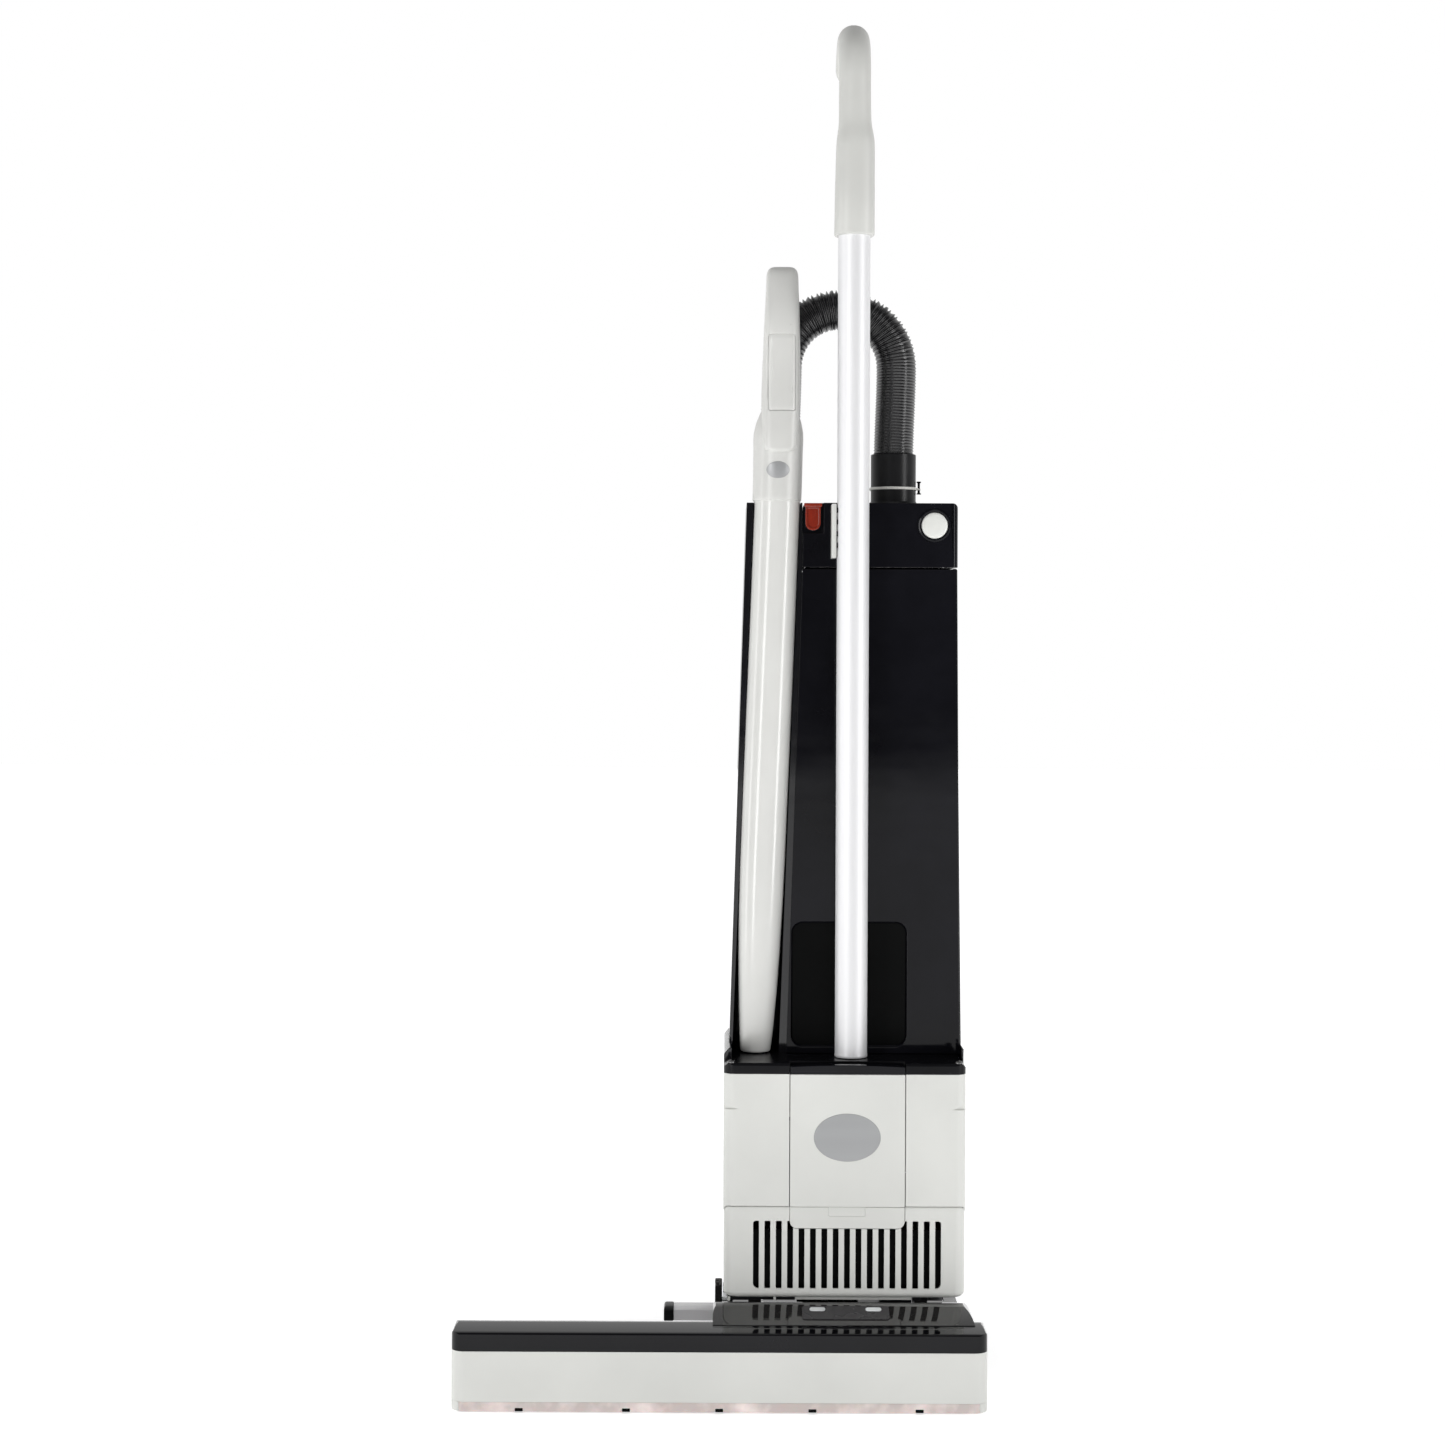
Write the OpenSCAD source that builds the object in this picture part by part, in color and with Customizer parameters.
// Commercial upright vacuum cleaner: wide floor head, docked wand, stretch hose and bent grip.
// X runs along the floor head, -Y is the front, Z = 0 is the floor. Sizes are in millimetres.

/* [Overall] */
// Front of the floor head to the back of the wheels
machine_d = 330; // [328:1:336]
// Wall thickness of the moulded casings
wall = 2.5; // [2:0.1:3]

/* [Floor head] */
// Width of the floor head
head_w = 462; // [460:1:466]
// Depth of the floor head
head_d = 125; // [123:1:127]
// Lower edge of the light face
face_z = 9.5; // [9:0.1:10]
// Joint line between the face and the lid
lid_z = 52.8; // [52:0.1:54]
// Crown of the lid
crown_z = 70; // [69.8:0.1:70.2]
// Corner radius of the floor head in plan
head_r = 12; // [10:1:16]

/* [Brush] */
// Radius over the bristles
brush_r = 24.5; // [23:0.5:24.5]
// Radius of the roller core
core_r = 15; // [14:0.5:15]
// Teeth on the roller pulley, twice those on the motor pulley
roller_teeth = 24; // [24:4:28]

/* [Carriage] */
// Left side of the hood
hood_x0 = -6; // [-7:0.5:-6]
// Right side of the hood
hood_x1 = 222; // [221:0.5:223]
// Highest line of the hood
hood_z = 81.1; // [80.8:0.1:81.2]
// Radius of the wheels
wheel_r = 33; // [32:0.5:33]

/* [Motor housing] */
// Left side of the motor housing
housing_x0 = 2.7; // [2.5:0.1:3]
// Width of the motor housing
housing_w = 215.1; // [215:0.1:216]
// Underside of the motor housing
housing_z0 = 82.4; // [82:0.1:83]
// Underside of the ledge band
band_z = 280.4; // [280:0.1:281]
// Top of the ledge band
ledge_z = 290; // [289.6:0.1:290]
// Slots in the grille
slots = 17; // [15:2:17]
// Pitch of the slots
slot_pitch = 10.07; // [10:0.01:10.1]

/* [Bag housing] */
// Depth from the door face to the back
bag_d = 115; // [112:1:116]
// Underside of the top cover
cover_z = 731; // [730.6:0.1:731.4]
// Top of the bag housing
top_z = 789.4; // [789:0.1:790]

/* [Wand and hose] */
// Radius of the wand tube
wand_r = 21.7; // [21.5:0.1:21.8]
// Sideways lean of the wand, in degrees
wand_lean = 2.03; // [1.95:0.01:2.1]
// Radius of the hose
hose_r = 18.5; // [18:0.1:18.6]
// Bend radius of the hose centre line
hose_bend = 52.8; // [52.5:0.1:53.1]

/* [Handle] */
// Radius of the aluminium tube
tube_r = 14.8; // [14.6:0.1:14.9]
// Top of the grip
grip_top = 1225.5; // [1220:0.5:1230]

/* [Hidden] */
$fn = 64;

light_grey = "#dbdbd7";
gloss_black = "#1e1e22";
soft_black = "#2a2a2c";
steel = "#b9bcc0";

// Highest line of the lid, where its lower edge starts to fall, and how far it falls
crest_d = 38;
fall_d = 80;
rear_z = 38;
lid_r = 5;

// Brush drive, in the left end of the floor head
brush_y = at(38);
brush_z = 26;
motor_y = at(98);
motor_z = 30;
tooth_pitch = 4;
belt_x0 = -212;
belt_x1 = -201;
shaft_gap = 0.05;
tufts = 24;

// Lower and upper edge of the hood's front slope
slope_low = 70.7;
slope_high = 80.9;

// Recline pivot, and the wheel axle behind it
pivot_y = at(225);
pivot_z = 66;
pin_r = 6;
arm_r = 12;
spigot_r = 13;
drum_r = 15.8;
riser_x = 94;
riser_r = 7.5;
arm_x = [[14, 26], [196, 208]];
tower_x = [[27, 39], [183, 195]];
axle_y = at(machine_d - wheel_r);
axle_r = 5;
wheel_x = [[8, 34], [188, 214]];

// Foot pedal, left of the carriage
pedal_y = at(205);
pedal_z = 46;
pedal_pin_r = 4;

// Upper body
housing_x1 = housing_x0 + housing_w;
housing_y0 = at(70);
housing_y1 = at(225);
motor_x = 110;
fan_y = at(165);
can_z = 102.5;
cover_x = [61.4, 163.8];
cover_foot = 143.9;
grille_z = 163.4;
slot_w = 5.2;
slot_z = [90.8, 150.6];
slot_mid = 112.5;
hinge_y = at(75.5);
hinge_z = 283;
door_y = at(127);
bag_y0 = at(130);
bag_y1 = bag_y0 + bag_d;
bag_back_r = 18;
channel_x = 72;
channel_r = wand_r + 0.6;

// Wand axis: it starts on the ledge and leans towards +X
wand_x = 31.4;
wand_y = at(137);
foot_r = wand_r - 7.5;
port_r = 10.5;
collar_z = 502;
grip_end = 716.5;

// Hose: two straight legs joined by half a turn
hose_y = at(174);
hose_x = [51.6, 51.6 + 2 * hose_bend];
hose_top = 917.4;
port_z = 822;
port_top = 856;
cuff_top = 836.6;

// Handle
tube_x = 117;
tube_y = at(108);
collar_low = 1028;
collar_high = 1115;
grip_r = 14.4;
collar_r = 18.2;
cane_r = 38;

// Y of a plane that lies d behind the front of the floor head
function at(d) = d - machine_d / 2;

// Height of the lid at depth d: a low crown, then a slope down to the rear
function crown(d) = d < crest_d ? crown_z - pow(d - crest_d, 2) * 0.0012
                                : crown_z - (d - crest_d) * 0.27;

// ---------- shared shapes ----------
module block(low, high) {
    translate(low) cube(high - low);
}

module rounded_rect(low, high, r) {
    translate(low + [r, 0]) square([high[0] - low[0] - 2 * r, high[1] - low[1]]);
    translate(low + [0, r]) square([high[0] - low[0], high[1] - low[1] - 2 * r]);
    for (x = [low[0] + r, high[0] - r], y = [low[1] + r, high[1] - r])
        translate([x, y]) circle(r);
}

// An outline drawn in X and Z, given thickness in Y
module front_view(y0, y1) {
    translate([0, y1, 0]) rotate([90, 0, 0]) linear_extrude(y1 - y0) children();
}

// An outline drawn in Y and Z, given thickness in X
module side_view(x0, x1) {
    translate([x0, 0, 0]) rotate([90, 0, 90]) linear_extrude(x1 - x0) children();
}

module plan_view(z0, z1) {
    translate([0, 0, z0]) linear_extrude(z1 - z0) children();
}

module rod_x(x0, x1, y, z, r) {
    translate([x0, y, z]) rotate([0, 90, 0]) cylinder(h = x1 - x0, r = r);
}

module rod_y(y0, y1, x, z, r) {
    translate([x, y0, z]) rotate([-90, 0, 0]) cylinder(h = y1 - y0, r = r);
}

module rod_z(z0, z1, x, y, r) {
    translate([x, y, z0]) cylinder(h = z1 - z0, r = r);
}

module along_wand() {
    translate([wand_x, wand_y, ledge_z]) rotate([0, wand_lean, 0]) children();
}

// ---------- floor head ----------
module head_plan(inset) {
    rounded_rect([-head_w / 2 + inset, at(inset)], [head_w / 2 - inset, at(head_d - inset)],
                 head_r - inset);
}

module head_shell() color(light_grey) {
    difference() {
        plan_view(face_z, lid_z) head_plan(0);
        plan_view(face_z - 1, lid_z + 1) head_plan(wall);
        block([45, at(head_d - 5), 15], [205, at(head_d + 1), lid_z + 1]);
        // Rear of the rim, which falls under the lid
        side_view(-head_w / 2 - 1, head_w / 2 + 1)
            polygon([[at(fall_d), lid_z], [at(head_d), rear_z], [at(head_d + 1), rear_z],
                     [at(head_d + 1), lid_z + 2], [at(fall_d), lid_z + 2]]);
    }
    // Wall between the brush chamber and the drive, with gaps for the belt and the duct
    difference() {
        block([1 - head_w / 2, at(70), face_z + 3], [head_w / 2 - 1, at(73), lid_z - 2]);
        for (x = [[-216, -197], [128, 182]])
            block([x[0], at(69), face_z], [x[1], at(74), 46]);
    }
}

module crown_outline(drop) {
    polygon(concat([[at(0), lid_z], [at(1), crown(3) - 1.5 - drop]],
                   [for (d = [3:6:head_d - 2]) [at(d), crown(d) - drop]],
                   [[at(head_d), crown(head_d) - 1 - drop], [at(head_d), rear_z - drop],
                    [at(fall_d), lid_z - drop]]));
}

module head_lid() color(gloss_black) difference() {
    intersection() {
        side_view(-head_w / 2, head_w / 2) crown_outline(0);
        plan_view(rear_z, crown_z + 1) head_plan(0);
        front_view(at(-1), at(head_d + 1))
            rounded_rect([-head_w / 2, 20], [head_w / 2, crown_z], lid_r);
    }
    intersection() {
        translate([0, 0, -wall]) side_view(-head_w / 2, head_w / 2) crown_outline(0);
        plan_view(rear_z - 4, crown_z + 1) head_plan(wall);
        front_view(at(-1), at(head_d + 1))
            rounded_rect([wall - head_w / 2, 20], [head_w / 2 - wall, crown_z - wall], lid_r - wall);
    }
    // Opening under the hood
    block([hood_x0 + 4, at(34), rear_z - 5], [hood_x1 - 4, at(head_d + 1), crown_z + 1]);
    block([hood_x0 - 0.4, at(71.5), rear_z - 5], [hood_x1 + 0.4, at(head_d + 1), crown_z + 1]);
}

module strip_ring() {
    plan_view(1.2, face_z) difference() {
        head_plan(0);
        head_plan(wall);
        translate([-head_w, at(104)]) square([2 * head_w, 40]);
    }
}

module bumper_strip() color("#d2c8c6") difference() {
    intersection() {
        strip_ring();
        block([-224, at(-1), 0], [224, at(20), 12]);
    }
    for (x = [-172, -80, 0, 80, 172])
        block([x - 3.5, at(-1), 0], [x + 3.5, at(5), 4.4]);
}

module corner_blocks() color(light_grey) difference() {
    strip_ring();
    block([-224, at(-1), 0], [224, at(20), 12]);
}

module sole_plate() color(soft_black) difference() {
    plan_view(4, 7.5) head_plan(wall + 0.5);
    block([-198, at(12), 3], [214, at(64), 8]);
    for (x = [-210, 218])
        rod_z(3, 8, x, at(105), 2.2);
}

module glide_runners() color("#8c8c8c") {
    for (x = [-150, 150])
        hull() {
            block([x - 22, at(72), 1.5], [x + 22, at(104), 4]);
            block([x - 20, at(76), 0], [x + 20, at(100), 1.5]);
        }
}

module end_bearings() color(soft_black) difference() {
    for (x = [[-226, -217], [219, 227]])
        block([x[0], at(26), 12], [x[1], at(50), 46]);
    rod_x(-230, 230, brush_y, brush_z, 4 + shaft_gap);
}

module brush_motor() color("#3a3a3d") difference() {
    union() {
        rod_x(-188, -96, motor_y, motor_z, 16.5);
        rod_x(-192, -188, motor_y, motor_z, 9);
        block([-180, at(84), 7.5], [-104, at(112), 16]);
    }
    rod_x(-193, -150, motor_y, motor_z, 3 + shaft_gap);
}

// Pitch radius of a belt pulley
function pulley_r(teeth) = teeth * tooth_pitch / (2 * PI);

module belt_outline(grow) {
    hull() {
        translate([motor_y, motor_z]) circle(pulley_r(roller_teeth / 2) + grow, $fn = 40);
        translate([brush_y, brush_z]) circle(pulley_r(roller_teeth) + grow, $fn = 40);
    }
}

module drive_belt() color("#202020") side_view(belt_x0 + 1, belt_x1 - 1) difference() {
    belt_outline(2);
    belt_outline(0.4);
}

// Duct from the brush chamber, with the spigot that the upper body turns on
module air_duct() color(soft_black) difference() {
    union() {
        block([130, at(66), 15.2], [180, pivot_y + spigot_r, 44]);
        block([150, pivot_y - spigot_r, 30], [180, pivot_y + spigot_r, pivot_z]);
        rod_x(108, 180, pivot_y, pivot_z, spigot_r);
    }
    block([133, at(65), 18], [177, pivot_y + spigot_r - 3, 41]);
    block([153, pivot_y - spigot_r + 3, 33], [177, pivot_y + spigot_r - 3, pivot_z]);
    rod_x(107, 177, pivot_y, pivot_z, spigot_r - 2.2);
}

// ---------- carriage ----------
module hood_side(drop) {
    polygon([[at(24), crown(24) + 0.3], [at(25), slope_low - drop], [at(48), slope_high - drop],
             [at(60), hood_z - drop], [at(68), hood_z - 1.6 - drop], [at(76), 67 - drop],
             [at(84), 61 - drop], [at(130), 58 - drop], [at(146), 47 - drop],
             [at(310), 46 - drop], [at(320), 40 - drop], [at(322), 24], [at(322), 12],
             [at(126), 12], [at(126), lid_z + 1.2], [at(74), lid_z + 1.2],
             [at(72), crown(72) + 0.3], [at(40), crown(38) + 0.3]]);
}

module hood_front(inset) {
    rounded_rect([hood_x0 + inset, 11], [hood_x1 - inset, hood_z + 2 - inset], 16);
    // Squarer left shoulder, beside the pedal
    rounded_rect([hood_x0 + inset, 11], [housing_w / 2, hood_z + 2 - inset], 8);
}

module carriage_hood() color(gloss_black) difference() {
    intersection() {
        side_view(hood_x0, hood_x1) hood_side(0);
        front_view(at(20), at(325)) hood_front(0);
    }
    intersection() {
        side_view(hood_x0 + wall, hood_x1 - wall) hood_side(wall);
        front_view(at(60), at(322 - wall)) hood_front(wall);
        block([hood_x0, at(66), 0], [hood_x1, at(322 - wall), 90]);
    }
    // Open underside, which the base closes
    block([hood_x0 + wall, at(126 + wall), 0], [hood_x1 - wall, at(322 - wall), 17]);
    block([hood_x0 + wall, at(115), 0], [hood_x1 - wall, at(130), lid_z + 2]);
    // Room for the pedal lever and its bracket
    block([hood_x0 - 1, at(132), 0], [6.5, at(330), 90]);
    block([6, pedal_y - 9, 30], [12.3, pedal_y + 9, 90]);
    // Wheel wells
    for (x = [[hood_x0 - 1, 42], [180, hood_x1 + 1]])
        block([x[0], at(254), 0], [x[1], at(330), 90]);
    // Openings for the yoke arms and towers, and for the duct and its drum
    for (x = [[12, 41], [181, 210]])
        block([x[0], at(206), 30], [x[1], at(246), 90]);
    block([72, at(198), 30], [182, at(250), 90]);
}

module carriage_base() color(soft_black) difference() {
    union() {
        block([9, at(129.5), 12], [hood_x1 - 3, at(252), 15]);
        block([44, at(252), 12], [178, at(319), 15]);
        // Axle blocks
        for (x = [[44, 56], [166, 178]])
            block([x[0], axle_y - 11, 15], [x[1], axle_y + 11, wheel_r + 10]);
        // Pivot towers
        for (x = tower_x) {
            block([x[0], pivot_y - 12, 15], [x[1], pivot_y + 12, pivot_z]);
            rod_x(x[0], x[1], pivot_y, pivot_z, 12);
        }
        // Bracket of the pedal pin
        block([9, pedal_y - 8, 15], [11.8, pedal_y + 8, pedal_z + 8]);
    }
    rod_x(40, 182, axle_y, wheel_r, axle_r);
    rod_x(20, 200, pivot_y, pivot_z, pin_r);
    rod_x(5, 14, pedal_y, pedal_z, pedal_pin_r);
}

module wheel_axle() color(steel) {
    rod_x(wheel_x[0][0] - 3, wheel_x[1][1] + 3, axle_y, wheel_r, axle_r);
    // End caps that hold the wheels on
    for (x = [wheel_x[0][0] - 5, wheel_x[1][1] + 1])
        rod_x(x, x + 4, axle_y, wheel_r, axle_r + 3);
}

module pivot_pins() color(steel) {
    for (x = [[arm_x[0][0] - 1, tower_x[0][1]], [tower_x[1][0], arm_x[1][1] + 1]])
        rod_x(x[0], x[1], pivot_y, pivot_z, pin_r);
    rod_x(-4, 11.8, pedal_y, pedal_z, pedal_pin_r);
}

module on_slope() {
    translate([110, at(25), slope_low]) rotate([atan2(slope_high - slope_low, 23), 0, 0]) children();
}

module indicator_panel() color("#434144") on_slope() difference() {
    linear_extrude(0.9) rounded_rect([-38, 6.5], [38, 24.5], 3);
    for (x = [-24.5, 24.5])
        translate([x, 20, -1]) linear_extrude(3) rounded_rect([-7.3, -2.8], [7.3, 2.8], 2.7);
}

module indicator_lenses() color("white") on_slope() {
    for (x = [-24.5, 24.5])
        translate([x, 20, 0]) linear_extrude(1.3) rounded_rect([-7, -2.5], [7, 2.5], 2.4);
}

module control_board() color("#2f6b3c") {
    block([60, at(80), 46], [124, at(120), 47.6]);
    for (x = [66, 88, 106])
        block([x, at(90), 47.6], [x + 12, at(108), 53]);
}

module casing_screws() color(steel) {
    for (x = [-210, 218]) {
        rod_z(2.6, 4, x, at(105), 4);
        rod_z(4, 12, x, at(105), 2.2);
    }
}

module wheel_hub(x) color(soft_black) difference() {
    rod_x(x[0], x[1], axle_y, wheel_r, wheel_r - 6);
    rod_x(x[0] - 1, x[1] + 1, axle_y, wheel_r, axle_r + shaft_gap);
    rod_x(x[0] - 1, x[0] + 5, axle_y, wheel_r, wheel_r - 11);
    rod_x(x[1] - 5, x[1] + 1, axle_y, wheel_r, wheel_r - 11);
}

module wheel_boss(x) color(soft_black) difference() {
    rod_x(x[0] + 0.3, x[1] - 0.3, axle_y, wheel_r, axle_r + 4);
    rod_x(x[0] - 1, x[1] + 1, axle_y, wheel_r, axle_r + shaft_gap);
}

module wheel(x) {
    wheel_hub(x);
    wheel_boss([x[0] + 1.4, x[1] - 1.4]);
}

// Ring of soft tread with rounded shoulders, pressed over the hub
module tyre(x) color("#3c3c3e") {
    half = (x[1] - x[0]) / 2;
    translate([x[0] + half, axle_y, wheel_r]) rotate([0, 90, 0]) rotate_extrude()
        translate([wheel_r - 6, 0]) intersection() {
            rounded_rect([-5, -half], [6, half], 4);
            translate([0, -half]) square([7, 2 * half]);
        }
}

module wheel_left() wheel(wheel_x[0]);
module wheel_right() wheel(wheel_x[1]);
module tyre_left() tyre(wheel_x[0]);
module tyre_right() tyre(wheel_x[1]);

module foot_pedal() color("#8f8f94") difference() {
    union() {
        rod_x(-4, 2.2, pedal_y, pedal_z, 9);
        block([-4, at(142), 43], [2.2, pedal_y + 6, 52]);
        // Treadle
        hull() {
            block([-42, at(142), 43.5], [2.2, at(164), 53]);
            block([-42, at(146), 53], [2.2, at(160), 55.6]);
        }
        // Upright finger that holds the body up
        side_view(-4.4, 2.2) {
            translate([at(144), 50]) square([12, 24.5]);
            translate([at(150), 74.5]) circle(6);
        }
    }
    rod_x(-6, 4, pedal_y, pedal_z, pedal_pin_r + shaft_gap);
}

module pedal_pad() color(soft_black) hull() {
    block([-51, at(141), 43.2], [-42, at(165), 53.4]);
    block([-50, at(145), 53], [-42, at(161), 56.2]);
}

// ---------- brush and drive ----------
module roller_core() color("#55565a") {
    rod_x(-190, 208, brush_y, brush_z, core_r);
    rod_x(-224, 225, brush_y, brush_z, 4);
}

// Sleeve with two helical rows of tufts
module roller_bristles() color("#1b1b1b") {
    difference() {
        rod_x(-188, 206, brush_y, brush_z, core_r + 0.6);
        rod_x(-189, 207, brush_y, brush_z, core_r);
    }
    for (k = [0:tufts - 1], turn = [0, 180])
        translate([-182 + k * 382 / (tufts - 1), brush_y, brush_z])
            rotate([turn + k * 360 / tufts, 0, 0]) translate([0, 0, core_r + 0.2])
                cylinder(h = brush_r - core_r - 0.2, r = 3.4, $fn = 16);
}

// A belt pulley with straight notches, turning about X at the origin
module pulley(teeth, bore) {
    r = pulley_r(teeth);
    rotate([0, 90, 0]) difference() {
        cylinder(h = belt_x1 - belt_x0, r = r);
        for (k = [0:teeth - 1])
            rotate([0, 0, k * 360 / teeth])
                translate([r - 1, -0.9, -1]) cube([3, 1.8, belt_x1 - belt_x0 + 2]);
        translate([0, 0, -1]) cylinder(h = belt_x1 - belt_x0 + 2, r = bore);
    }
}

module roller_pulley() color(steel) translate([belt_x0, brush_y, brush_z])
    pulley(roller_teeth, 4);

module motor_pulley() color(steel) {
    translate([belt_x0, motor_y, motor_z]) pulley(roller_teeth / 2, 3);
    rod_x(belt_x0 - 2, -154, motor_y, motor_z, 3);
}

// ---------- motor housing ----------
module housing_plan(inset, r) {
    rounded_rect([housing_x0 + inset, housing_y0 + inset],
                 [housing_x1 - inset, housing_y1 - inset], r);
}

module grille_outline(gap) {
    difference() {
        rounded_rect([housing_x0 + 6 - gap, housing_z0 + 3 - gap],
                     [housing_x1 - 6 + gap, grille_z + gap], 6);
        translate([cover_x[0] - gap, cover_foot - gap])
            square([cover_x[1] - cover_x[0] + 2 * gap, 60]);
    }
}

module motor_housing() color(light_grey) difference() {
    intersection() {
        plan_view(housing_z0, band_z) housing_plan(0, 10);
        front_view(housing_y0 - 1, housing_y1 + 1)
            rounded_rect([housing_x0, housing_z0], [housing_x1, band_z + 20], 5);
    }
    plan_view(housing_z0 + wall, band_z + 1) housing_plan(wall, 8);
    // Front opening behind the grille and the filter cover
    front_view(housing_y0 - 1, housing_y0 + 3.2) {
        grille_outline(0.3);
        translate([cover_x[0] - 0.4, cover_foot - 0.4])
            square([cover_x[1] - cover_x[0] + 0.8, band_z]);
    }
    // Outlet of the air duct
    rod_z(housing_z0 - 1, housing_z0 + 4, riser_x, pivot_y - 10, riser_r);
}

module front_grille() color(light_grey) difference() {
    front_view(housing_y0, housing_y0 + 3) grille_outline(0);
    front_view(housing_y0 - 1, housing_y0 + 4) intersection() {
        for (k = [0:slots - 1])
            translate([slot_mid + (k - (slots - 1) / 2) * slot_pitch - slot_w / 2, slot_z[0]])
                square([slot_w, slot_z[1] - slot_z[0]]);
        difference() {
            rounded_rect([29, slot_z[0]], [slot_mid * 2 - 29, slot_z[1]], 5);
            translate([cover_x[0] - 2, cover_foot - 3])
                square([cover_x[1] - cover_x[0] + 4, 30]);
        }
    }
}

module ledge_band() color(gloss_black) difference() {
    intersection() {
        plan_view(band_z, ledge_z) housing_plan(0, 10);
        side_view(0, 300)
            polygon([[housing_y0, band_z], [housing_y0, ledge_z - 2], [housing_y0 + 2, ledge_z],
                     [housing_y1, ledge_z], [housing_y1, band_z]]);
        front_view(housing_y0 - 1, housing_y1 + 1)
            polygon([[housing_x0, band_z], [housing_x0, ledge_z - 4], [housing_x0 + 4, ledge_z],
                     [housing_x1 - 4, ledge_z], [housing_x1, ledge_z - 4], [housing_x1, band_z]]);
    }
    // Way for the air from the bag, and seat of the filter cover
    rod_z(band_z - 1, ledge_z + 1, motor_x, fan_y, 30);
    block([cover_x[0] - 0.4, housing_y0 - 1, band_z - 1], [cover_x[1] + 0.4, at(84), ledge_z + 1]);
    rod_z(band_z + 4, ledge_z + 1, tube_x, tube_y, tube_r - 3);
    rod_z(band_z - 1, ledge_z + 1, wand_x, wand_y, port_r);
}

module suction_motor() color("#6d6f73") difference() {
    union() {
        rod_z(can_z, 225, motor_x, fan_y, 50);
        rod_z(housing_z0 + wall, can_z, motor_x, fan_y, 30);
    }
    rod_z(can_z + 4, 221, motor_x, fan_y, 46);
    rod_z(86, 224, motor_x, fan_y, 5 + shaft_gap);
    rod_z(220, 230, motor_x, fan_y, 5 + shaft_gap);
    // Inlet eye around the upper bearing
    for (turn = [0:60:300])
        translate([motor_x, fan_y, 215]) rotate([0, 0, turn]) translate([10, -4, 0]) cube([14, 8, 20]);
}

module motor_armature() color("#b06a3b") {
    rod_z(87, 224.5, motor_x, fan_y, 5);
    rod_z(can_z + 8, 160, motor_x, fan_y, 24);
    rod_z(168, 182, motor_x, fan_y, 12);
    rod_z(190, 192, motor_x, fan_y, 43);
    rod_z(206, 207.5, motor_x, fan_y, 43);
    for (turn = [0:40:320])
        translate([motor_x, fan_y, 192]) rotate([0, 0, turn]) translate([8, -0.8, 0])
            cube([34, 1.6, 14]);
}

module motor_seal() color("#4a4a4a") difference() {
    rod_z(225, 231, motor_x, fan_y, 50);
    rod_z(224, 232, motor_x, fan_y, 40);
}

module motor_filter() color("#e9e6dd") difference() {
    rod_z(231, 262, motor_x, fan_y, 56);
    rod_z(230, 256, motor_x, fan_y, 40);
}

module exhaust_filter() color("#f0efe9") block([68, at(78.6), 170], [157, at(106), 262]);

// Duct from the drum up to the port that the docked wand stands on
module riser_duct() color("#5a5b5e") {
    x0 = housing_x0 + wall + 6;
    x1 = x0 + 32;
    z0 = housing_z0 + wall;
    difference() {
        union() {
            block([x0, pivot_y - 21, z0], [riser_x + 10, pivot_y - wall - 0.3, z0 + 16]);
            block([x0, pivot_y - 28, z0], [x1, pivot_y - wall - 0.3, band_z - 2]);
            block([x0, at(123), band_z - 34], [x1, pivot_y - wall - 0.3, band_z - 2]);
            rod_z(band_z - 3, ledge_z + 10, wand_x, wand_y, port_r);
        }
        block([x0 + 2, pivot_y - 19, z0 + 2], [riser_x + 8, pivot_y - wall - 2.3, z0 + 14]);
        block([x0 + 2, pivot_y - 26, z0 + 2], [x1 - 2, pivot_y - wall - 2.3, band_z - 4]);
        block([x0 + 2, at(125), band_z - 32], [x1 - 2, pivot_y - wall - 2.3, band_z - 4]);
        rod_z(z0 - 1, z0 + 3, riser_x, pivot_y - 10, riser_r - 1);
        rod_z(band_z - 6, ledge_z + 11, wand_x, wand_y, port_r - 2);
    }
}

// Plate and arms under the housing; the arms hang on the pivot pins
module pivot_yoke() color("#3a3a3d") difference() {
    union() {
        for (x = arm_x) {
            rod_x(x[0], x[1], pivot_y, pivot_z, arm_r);
            block([x[0], pivot_y - arm_r, pivot_z], [x[1], pivot_y, housing_z0]);
        }
        block([arm_x[0][0], pivot_y - 20, housing_z0 - 2.5], [arm_x[1][1], pivot_y, housing_z0]);
        // Drum that turns on the duct's spigot, and its neck
        rod_x(78, 140, pivot_y, pivot_z, drum_r);
        block([78, pivot_y - 20, pivot_z], [108, pivot_y, housing_z0]);
    }
    for (x = arm_x)
        rod_x(x[0] - 1, x[1] + 1, pivot_y, pivot_z, pin_r + shaft_gap);
    rod_x(106, 141, pivot_y, pivot_z, spigot_r + shaft_gap);
    rod_x(82, 107, pivot_y, pivot_z, spigot_r - 2.2);
    rod_z(pivot_z, housing_z0 + 1, riser_x, pivot_y - 10, riser_r);
}

module filter_cover() color(light_grey) {
    gap = 0.3;
    x0 = cover_x[0] + gap;
    x1 = cover_x[1] - gap;
    // Main plate, with its black-edged top flush with the ledge
    difference() {
        block([x0, at(70), 162.6], [x1, at(73), ledge_z - 0.4]);
        front_view(at(60), at(71.2))
            polygon([[96, 154], [99, 168], [122, 168], [125, 154]]);
    }
    // Recessed tongue with rounded lower corners
    front_view(at(71.2), at(73.2)) {
        rounded_rect([x0, cover_foot], [x1, 200], 6.5);
    }
    // Hinge barrels behind the top edge
    for (x = [x0 + 4, x1 - 16])
        rod_x(x, x + 12, hinge_y, hinge_z, 2.9);
}

module cover_badge() color("#c9cac8") translate([112.3, at(70), 224.5]) rotate([90, 0, 0])
    scale([60, 43, 1]) cylinder(h = 1, r = 0.5);

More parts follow.
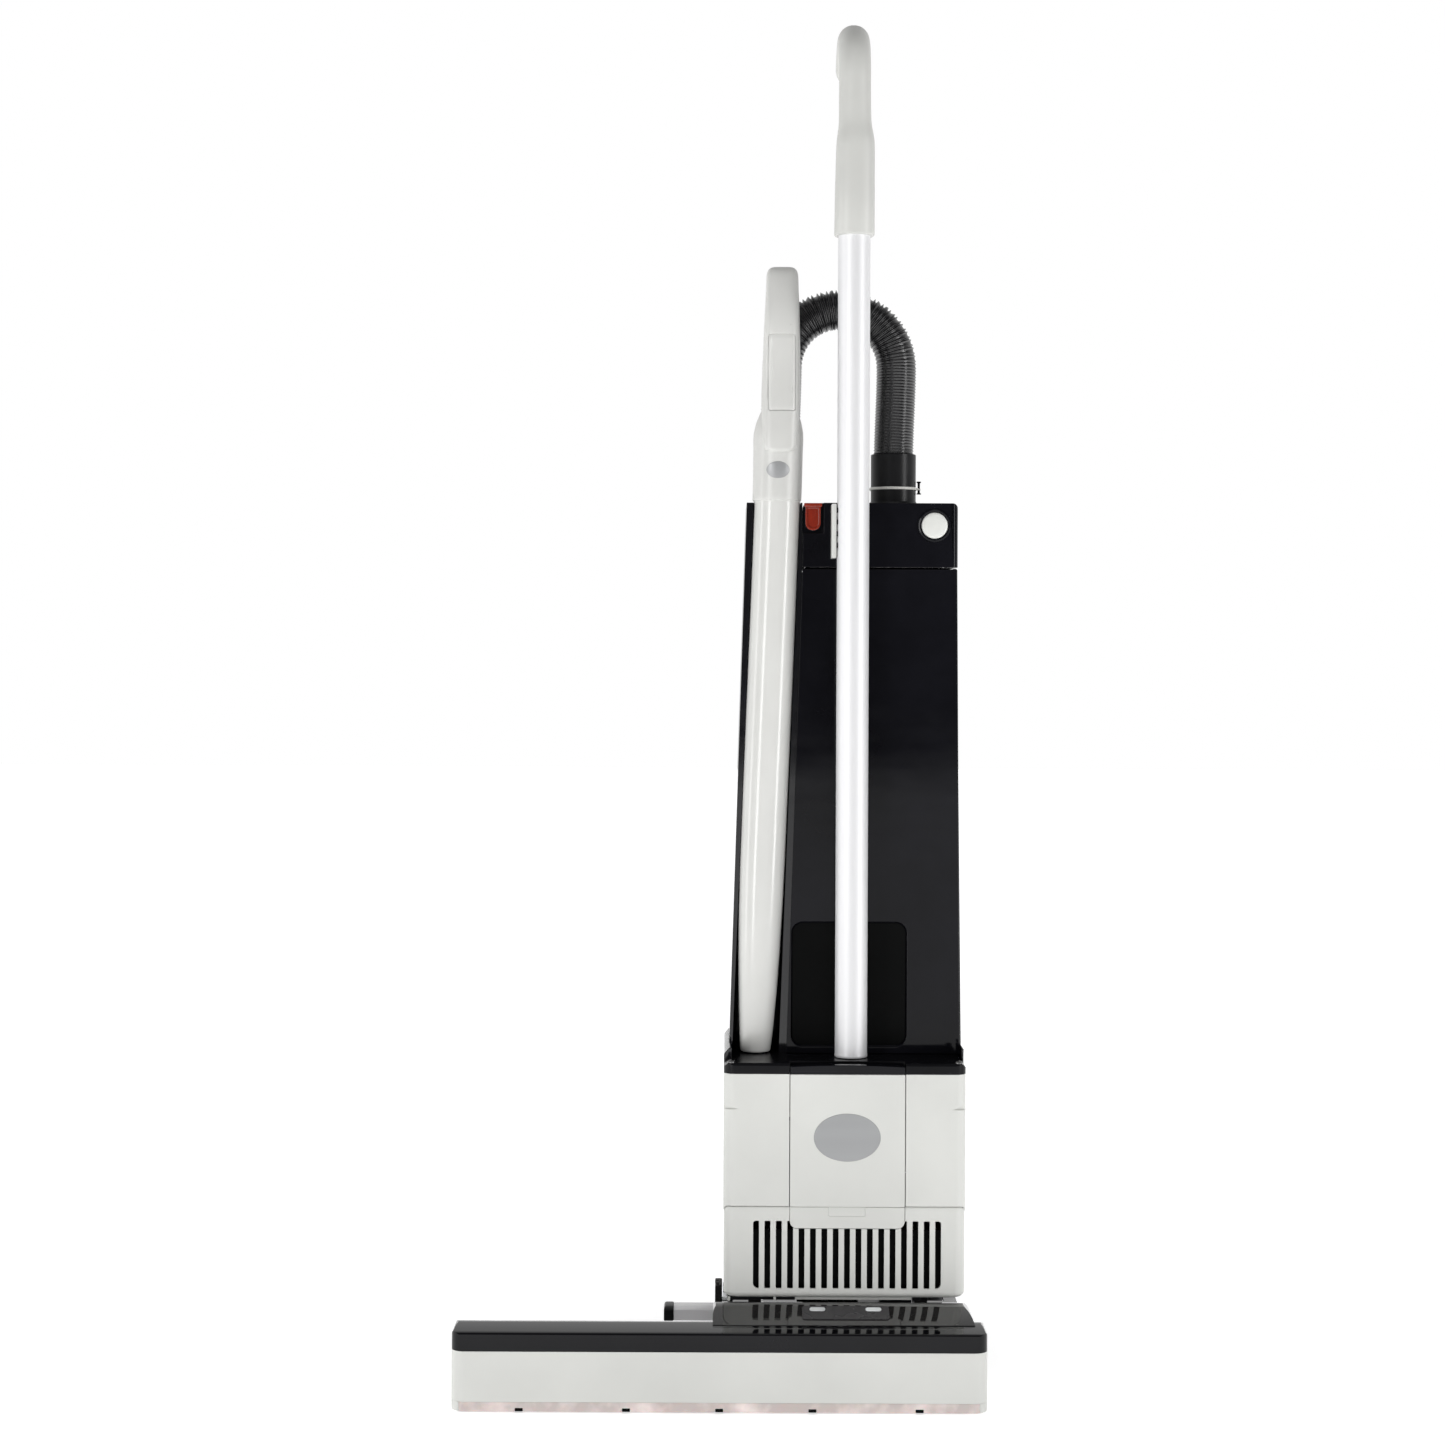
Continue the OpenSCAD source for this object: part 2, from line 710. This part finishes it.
// ---------- bag housing ----------
// Left and right sides lean towards each other with height
function left_x(z) = 7.3 + (z - ledge_z) * 14.2 / (top_z - ledge_z);
function right_x(z) = 218 - (z - ledge_z) * 6.6 / (top_z - ledge_z);

module leaning_outline(x_low, x_high, inset, z0, z1) {
    polygon([[x_low[0] + inset, z0], [x_high[0] + inset, z1], [x_high[1] - inset, z1],
             [x_low[1] - inset, z0]]);
}

module body_outline(inset) {
    leaning_outline([left_x(ledge_z), right_x(ledge_z)], [left_x(top_z), right_x(top_z)],
                    inset, ledge_z, top_z);
}

module bag_housing() color(gloss_black) difference() {
    intersection() {
        front_view(bag_y0, bag_y1) body_outline(0);
        plan_view(ledge_z, top_z) rounded_rect([left_x(ledge_z), bag_y0 - 40],
                                               [right_x(ledge_z), bag_y1], bag_back_r);
    }
    // Bag compartment, open at the front, and the space behind the channel
    intersection() {
        front_view(bag_y0 - 1, bag_y1 - wall) body_outline(wall);
        union() {
            block([channel_x, bag_y0 - 1, ledge_z + wall], [225, bag_y1 - wall, cover_z]);
            block([0, at(163.5), ledge_z + wall], [225, bag_y1 - wall, cover_z]);
        }
        block([0, bag_y0 - 1, ledge_z + wall], [225, bag_y1 - wall, cover_z]);
    }
    // Seat of the top cover
    block([channel_x, bag_y0 - 1, cover_z - 1], [225, bag_y1 + 1, top_z + 1]);
    // Wand channel
    along_wand() translate([0, 0, -20]) cylinder(h = 560, r = channel_r);
    // Inlet of the suction motor
    rod_z(ledge_z - 1, ledge_z + 5, motor_x, fan_y, 30);
    // Pivot of the upper cable hook
    rod_y(bag_y1 - 5, bag_y1 + 1, motor_x, 680, 5 + shaft_gap);
}

module bag_door() color(gloss_black) difference() {
    front_view(door_y, bag_y0 - 0.2)
        leaning_outline([59, 217], [72, 213], 0.3, ledge_z + 0.4, cover_z - 1.6);
    // Shallow recess behind the foot of the handle
    front_view(door_y - 1, door_y + 1.6) rounded_rect([63.7, 296.8], [168.1, 409.4], 7);
}

module top_cover() color(gloss_black) difference() {
    intersection() {
        front_view(at(127), bag_y1) translate([0, cover_z])
            rounded_rect([channel_x + 0.3, -10], [213.4, top_z - cover_z], 5);
        plan_view(cover_z, top_z) rounded_rect([0, at(127)], [213.4, bag_y1], bag_back_r - 12);
    }
    // Hollow underneath, pocket of the latch, seat of the button, and the hose inlet
    block([channel_x + 3.5, at(134), cover_z - 1], [210, bag_y1 - wall, top_z - 4]);
    block([72, at(126), 761.5], [91.2, at(131.8), top_z + 1]);
    rod_y(at(126), at(131.5), 191.8, 769, 12.3);
    rod_y(at(130), at(135), 191.8, 769, 7);
    rod_z(top_z - 6, top_z + 1, hose_x[1], hose_y, hose_r - 2);
    rod_y(bag_y1 - 5, bag_y1 + 1, 192, 752, 7);
}

module hose_cuff() color(soft_black) translate([hose_x[1], hose_y, 0]) difference() {
    union() {
        translate([0, 0, top_z]) cylinder(h = 4, r1 = 23, r2 = 20.8);
        rod_z(top_z, cuff_top, 0, 0, 20.8);
    }
    rod_z(top_z - 1, cuff_top + 1, 0, 0, hose_r - 2);
    rod_z(cuff_top - 10, cuff_top + 1, 0, 0, hose_r + 0.2);
}

module strap_ring() color("#e6e4df") difference() {
    union() {
        rod_z(803, 806.5, hose_x[1], hose_y, 22);
        block([hose_x[1] + 20, hose_y - 3, 800], [hose_x[1] + 26, hose_y + 3, 812]);
    }
    rod_z(799, 813, hose_x[1], hose_y, 20.8);
}

module tube_clip() color("#cfcfcb") {
    block([97.8, at(103), 738.6], [101.9, at(127), 787.3]);
    block([101.9, at(123.8), 742], [128, at(127), 784]);
}

// Filter bag with its stiff collar, under the hose inlet
module dust_bag() color("#c9b48c") {
    block([100, at(148), 688], [204, at(226), 694]);
    intersection() {
        front_view(at(146), at(228)) rounded_rect([82, 312], [200, 690], 26);
        side_view(70, 210) rounded_rect([at(146), 312], [at(228), 690], 26);
    }
}

module cable_hook(z, reach, up) {
    y0 = bag_y1;
    side_view(-9, 9) {
        translate([y0 + 3, z - 7]) square([reach, 14]);
        translate([y0 + 3 + reach - 8, z - 7 + (up ? 0 : -18)]) square([8, 32]);
    }
}

module lower_cable_hook() color(soft_black) translate([motor_x, 0, 0]) {
    cable_hook(370, 30, false);
    block([-14, bag_y1, 350], [14, bag_y1 + 3, 390]);
}

module upper_cable_hook() color(soft_black) translate([motor_x, 0, 0]) {
    cable_hook(680, 30, true);
    rod_y(bag_y1 + 0.4, bag_y1 + 4, 0, 680, 13);
    rod_y(bag_y1 - wall - 1, bag_y1 + 1, 0, 680, 5);
}

module cable_inlet() color(soft_black) difference() {
    union() {
        rod_y(bag_y1 - 5, bag_y1, 192, 752, 7);
        rod_y(bag_y1, bag_y1 + 3, 192, 752, 11);
        translate([192, bag_y1 + 3, 752]) rotate([-90, 0, 0]) cylinder(h = 14, r1 = 8, r2 = 6);
    }
    rod_y(bag_y1 - 6, bag_y1 + 18, 192, 752, 4.2);
}

// ---------- controls on the top cover ----------
module power_button() color(light_grey) {
    rod_y(at(123.5), at(128), 191.8, 769, 11.9);
    rod_y(at(128), at(134.5), 191.8, 769, 6.5);
}

module door_latch() color("#a83426") {
    hull() {
        block([73.2, at(127), 772], [90, at(130.5), 789]);
        rod_y(at(127), at(130.5), 79.2, 769, 5);
        rod_y(at(127), at(130.5), 84, 769, 5);
    }
    // Thumb lip, and the pin that the latch turns on
    block([73.2, at(124), 785.5], [90, at(127), 789]);
    rod_x(73.2, 90, at(129), 766.5, 1.6);
}

// ---------- wand ----------
module wand_tube() color("#e2e2df") along_wand() {
    difference() {
        translate([0, 0, 172]) cylinder(h = collar_z - 172, r = wand_r);
        translate([0, 0, 171]) cylinder(h = collar_z - 170, r = wand_r - wall);
    }
    // Tapered lower end
    difference() {
        hull() {
            translate([0, 0, 171]) cylinder(h = 1, r = wand_r);
            translate([0, 0, 1.4]) cylinder(h = 1, r = foot_r);
        }
        hull() {
            translate([0, 0, 171.2]) cylinder(h = 1, r = wand_r - wall);
            translate([0, 0, 1]) cylinder(h = 1, r = foot_r - wall);
        }
    }
}

module grip_body() color("#d8d8d4") along_wand() {
    difference() {
        union() {
            // Collar, shoulder and grip, squarer towards its end
            translate([0, 0, collar_z]) cylinder(h = 56, r = 23);
            translate([0, 0, collar_z + 56]) cylinder(h = 16, r1 = 23, r2 = 17);
            intersection() {
                plan_view(collar_z + 60, grip_end) rounded_rect([-17, -17], [17, 16], 13);
                front_view(-20, 20) rounded_rect([-17, collar_z], [17, grip_end], 11);
                side_view(-20, 20) rounded_rect([-17, collar_z], [16, grip_end], 11);
            }
        }
        translate([0, 0, collar_z - 1]) cylinder(h = 50, r = wand_r - wall);
        translate([-12, -25, 540]) cube([24, 13, 130]);
    }
}

// Port behind the grip, which stands upright under the hose
module hose_port() color("#d8d8d4") difference() {
    union() {
        rod_z(port_z, port_top, hose_x[0], hose_y, 21);
        block([hose_x[0] - 14, wand_y + 12, port_z + 2], [hose_x[0] + 14, hose_y, port_z + 26]);
    }
    along_wand() translate([0, 0, collar_z - 1]) cylinder(h = 60, r = 22.4);
}

// The hose seat opens into the wand's passage, so the air turns from one to the other
module wand_grip() color("#d8d8d4") difference() {
    union() {
        grip_body();
        hose_port();
    }
    rod_z(port_z + 4, port_top + 1, hose_x[0], hose_y, hose_r + 0.2);
}

// Flat thumb panel let into the front of the grip
module grip_insert() color("#c4c4c0") along_wand() {
    front_view(-15.4, -12) rounded_rect([-11.6, 541], [11.6, 669], 10);
}

// Plain oval plate, curved round the front of the collar
module wand_badge() color("#b8b9b8") along_wand() difference() {
    intersection() {
        cylinder(h = grip_end, r = 23.7);
        translate([0, -12, 527]) rotate([90, 0, 0]) scale([21, 16, 1]) cylinder(h = 14, r = 0.5);
    }
    cylinder(h = grip_end, r = 23.02);
}

module hose() color("#232325") {
    rod_z(port_z + 4.2, hose_top, hose_x[0], hose_y, hose_r);
    rod_z(cuff_top - 9.8, hose_top, hose_x[1], hose_y, hose_r);
    translate([hose_x[0] + hose_bend, hose_y, hose_top]) rotate([90, 0, 0])
        rotate_extrude(angle = 180) translate([hose_bend, 0]) circle(hose_r);
}

// ---------- handle ----------
module handle_tube() color(steel) difference() {
    union() {
        rod_z(ledge_z + 0.4, collar_low + 30, tube_x, tube_y, tube_r - 0.3);
        rod_z(ledge_z + 0.4, ledge_z + 3.4, tube_x, tube_y, tube_r);
    }
    rod_z(ledge_z, collar_low + 31, tube_x, tube_y, tube_r - 2);
}

module handle_socket() color(soft_black)
    rod_z(band_z + 4, ledge_z + 34, tube_x, tube_y, tube_r - 3);

module handle_grip() color("#d3d2ce") translate([tube_x, tube_y, 0]) {
    cane_z = grip_top - grip_r - cane_r;
    difference() {
        union() {
            rod_z(collar_low, collar_high - 6, 0, 0, collar_r);
            translate([0, 0, collar_high - 6]) cylinder(h = 10, r1 = collar_r, r2 = grip_r);
            rod_z(collar_high, cane_z, 0, 0, grip_r);
        }
        rod_z(collar_low - 1, collar_low + 30, 0, 0, tube_r - 0.3);
    }
    // Bend towards the back, with a round end
    translate([0, cane_r, cane_z]) rotate([0, -90, 0]) rotate([0, 0, -90])
        rotate_extrude(angle = 150) translate([cane_r, 0]) circle(grip_r);
    translate([0, cane_r - cane_r * cos(150), cane_z + cane_r * sin(150)])
        sphere(r = grip_r - 0.05);
}

head_shell();
head_lid();
bumper_strip();
corner_blocks();
sole_plate();
glide_runners();
end_bearings();
brush_motor();
drive_belt();
air_duct();
carriage_hood();
carriage_base();
wheel_axle();
indicator_panel();
indicator_lenses();
control_board();
casing_screws();
pivot_pins();
roller_core();
roller_bristles();
roller_pulley();
motor_pulley();
wheel_left();
tyre_left();
wheel_right();
tyre_right();
foot_pedal();
pedal_pad();
motor_housing();
ledge_band();
front_grille();
bag_housing();
bag_door();
top_cover();
hose_cuff();
strap_ring();
tube_clip();
dust_bag();
motor_filter();
motor_seal();
riser_duct();
suction_motor();
exhaust_filter();
pivot_yoke();
lower_cable_hook();
cable_inlet();
handle_socket();
motor_armature();
filter_cover();
cover_badge();
wand_tube();
wand_grip();
grip_insert();
wand_badge();
hose();
handle_tube();
handle_grip();
power_button();
door_latch();
upper_cable_hook();
